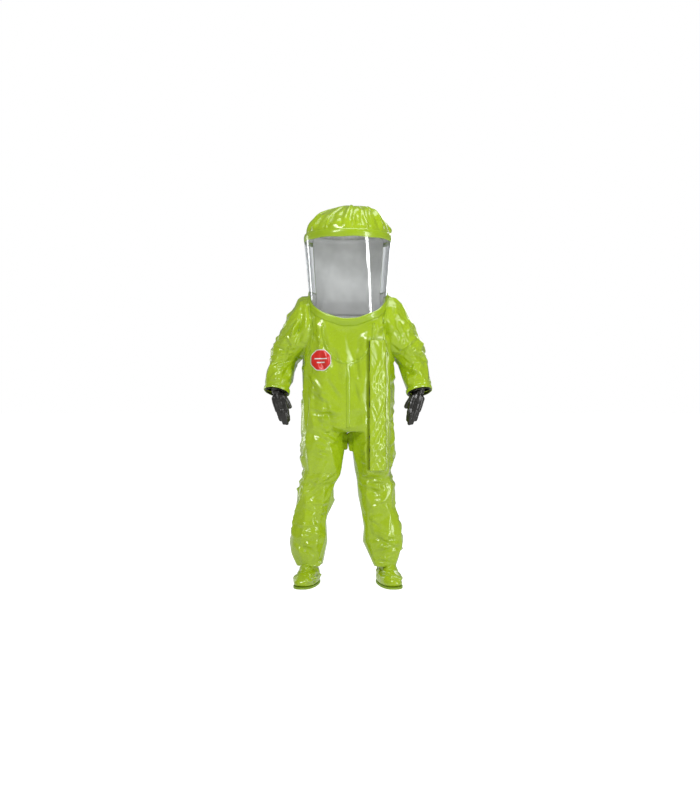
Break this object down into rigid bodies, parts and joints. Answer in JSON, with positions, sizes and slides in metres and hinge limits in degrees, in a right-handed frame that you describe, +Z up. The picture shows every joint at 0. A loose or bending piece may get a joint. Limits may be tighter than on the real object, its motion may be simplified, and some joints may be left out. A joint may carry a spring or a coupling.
{
  "type": "chemical protective suit",
  "caption": "Encapsulating lime-green protective suit with hood, clear visor, side-front zipper under storm flaps, black gloves and booties; standing, limbs jointed.",
  "frame": {"origin": "on the floor, under the centre of the standing suit's bounding box", "axes": "+Z up, -Y the way the suit faces, +X towards the wearer's left"},
  "size_m": [0.8588, 0.45, 1.95],
  "materials": {
    "lime_laminate": "gloss",
    "lime_trim": "gloss",
    "clear_visor": "gloss",
    "black_glove": "satin",
    "black_plastic": "satin",
    "zipper_plastic": "satin",
    "zipper_cloth": "matte",
    "sole_rubber": "matte",
    "red_patch": "satin"
  },
  "bodies": {
    "suit_body": {"hood_crown": "lime_laminate", "hood_back": "lime_laminate", "visor": "clear_visor", "visor_upper_trim": "lime_trim", "visor_lower_trim": "lime_trim", "bib_panel": "lime_laminate", "front_panel_left": "lime_laminate", "front_panel_right": "lime_laminate", "back_panel": "lime_laminate", "centre_seam_tape": "lime_trim", "chest_patch": "red_patch", "zipper_tape_inboard": "zipper_cloth", "zipper_tape_outboard": "zipper_cloth", "zipper_chain": "zipper_plastic", "zipper_top_stop": "zipper_plastic", "zipper_bottom_stop": "zipper_plastic", "loop_strip": "zipper_cloth", "valve_housing_left": "black_plastic", "valve_cover_left": "black_plastic", "thigh_left": "lime_laminate", "knee_folds_left": "lime_laminate", "shoulder_gusset_left": "lime_laminate", "valve_housing_right": "black_plastic", "valve_cover_right": "black_plastic", "thigh_right": "lime_laminate", "knee_folds_right": "lime_laminate", "shoulder_gusset_right": "lime_laminate"},
    "storm_flap": {"storm_flap": "lime_laminate", "hook_strip": "zipper_cloth"},
    "inner_flap": {"inner_flap": "lime_laminate"},
    "zipper_slider": {"zipper_slider": "zipper_plastic", "zipper_pull": "zipper_plastic"},
    "upper_arm_left": {"upper_sleeve_left": "lime_laminate", "elbow_folds_left": "lime_laminate"},
    "forearm_left": {"forearm_sleeve_left": "lime_laminate", "cuff_hem_left": "lime_trim", "cuff_ring_left": "black_plastic", "glove_gauntlet_left": "black_glove"},
    "hand_left": {"glove_hand_left": "black_glove"},
    "shin_left": {"shin_left": "lime_laminate", "boot_flap_left": "lime_laminate"},
    "foot_left": {"bootie_left": "lime_laminate", "sole_left": "sole_rubber"},
    "diaphragm_left": {"valve_diaphragm_left": "black_glove"},
    "upper_arm_right": {"upper_sleeve_right": "lime_laminate", "elbow_folds_right": "lime_laminate"},
    "forearm_right": {"forearm_sleeve_right": "lime_laminate", "cuff_hem_right": "lime_trim", "cuff_ring_right": "black_plastic", "glove_gauntlet_right": "black_glove"},
    "hand_right": {"glove_hand_right": "black_glove"},
    "shin_right": {"shin_right": "lime_laminate", "boot_flap_right": "lime_laminate"},
    "foot_right": {"bootie_right": "lime_laminate", "sole_right": "sole_rubber"},
    "diaphragm_right": {"valve_diaphragm_right": "black_glove"}
  },
  "joints": [
    {"name": "shoulder_left", "type": "hinge", "parent": "suit_body", "child": "upper_arm_left", "pos_m": [0.19, 0, 1.4], "axis": [0, -1, 0], "range_deg": [-2, 65], "deforming": ["shoulder_gusset_left"]},
    {"name": "elbow_left", "type": "hinge", "parent": "upper_arm_left", "child": "forearm_left", "pos_m": [0.33134, 0.01953, 1.15908], "axis": [-0.9816, 0, -0.1908], "range_deg": [-12, 52], "deforming": ["elbow_folds_left"]},
    {"name": "wrist_left", "type": "hinge", "parent": "forearm_left", "child": "hand_left", "pos_m": [0.36507, -0.0501, 0.98555], "axis": [-0.9511, 0, 0.309], "range_deg": [-30, 35]},
    {"name": "knee_left", "type": "hinge", "parent": "suit_body", "child": "shin_left", "pos_m": [0.155, 0, 0.515], "axis": [1, 0, 0], "range_deg": [0, 60], "deforming": ["knee_folds_left"]},
    {"name": "ankle_left", "type": "hinge", "parent": "shin_left", "child": "foot_left", "pos_m": [0.198, 0, 0.096], "axis": [1, 0, 0], "range_deg": [-15, 20]},
    {"name": "exhaust_valve_left", "type": "slide", "parent": "suit_body", "child": "diaphragm_left", "axis": [0.4468, 0.8925, -0.0615], "range_m": [0, 0.002], "stiffness_N_per_m": 40},
    {"name": "shoulder_right", "type": "hinge", "parent": "suit_body", "child": "upper_arm_right", "pos_m": [-0.19, 0, 1.4], "axis": [0, 1, 0], "range_deg": [-2, 65], "deforming": ["shoulder_gusset_right"]},
    {"name": "elbow_right", "type": "hinge", "parent": "upper_arm_right", "child": "forearm_right", "pos_m": [-0.33134, 0.01953, 1.15908], "axis": [-0.9816, 0, 0.1908], "range_deg": [-12, 52], "deforming": ["elbow_folds_right"]},
    {"name": "wrist_right", "type": "hinge", "parent": "forearm_right", "child": "hand_right", "pos_m": [-0.36507, -0.0501, 0.98555], "axis": [-0.9511, 0, -0.309], "range_deg": [-30, 35]},
    {"name": "knee_right", "type": "hinge", "parent": "suit_body", "child": "shin_right", "pos_m": [-0.155, 0, 0.515], "axis": [1, 0, 0], "range_deg": [0, 60], "deforming": ["knee_folds_right"]},
    {"name": "ankle_right", "type": "hinge", "parent": "shin_right", "child": "foot_right", "pos_m": [-0.198, 0, 0.096], "axis": [1, 0, 0], "range_deg": [-15, 20]},
    {"name": "exhaust_valve_right", "type": "slide", "parent": "suit_body", "child": "diaphragm_right", "axis": [-0.4468, 0.8925, -0.0615], "range_m": [0, 0.002], "stiffness_N_per_m": 40},
    {"name": "storm_flap_hinge", "type": "hinge", "parent": "suit_body", "child": "storm_flap", "pos_m": [0.18765, -0.1436, 1.24529], "axis": [0, -0.0259, 0.9997], "range_deg": [0, 130]},
    {"name": "inner_flap_hinge", "type": "hinge", "parent": "suit_body", "child": "inner_flap", "pos_m": [0.18765, -0.1436, 1.24529], "axis": [0, -0.0259, 0.9997], "range_deg": [0, 117]},
    {"name": "zipper_slide", "type": "slide", "parent": "suit_body", "child": "zipper_slider", "axis": [0, 0.0259, -0.9997], "range_m": [0, 0.5532]}
  ],
  "couplings": [
    {"joint": "inner_flap_hinge", "follows": "storm_flap_hinge", "ratio": 0.9}
  ]
}
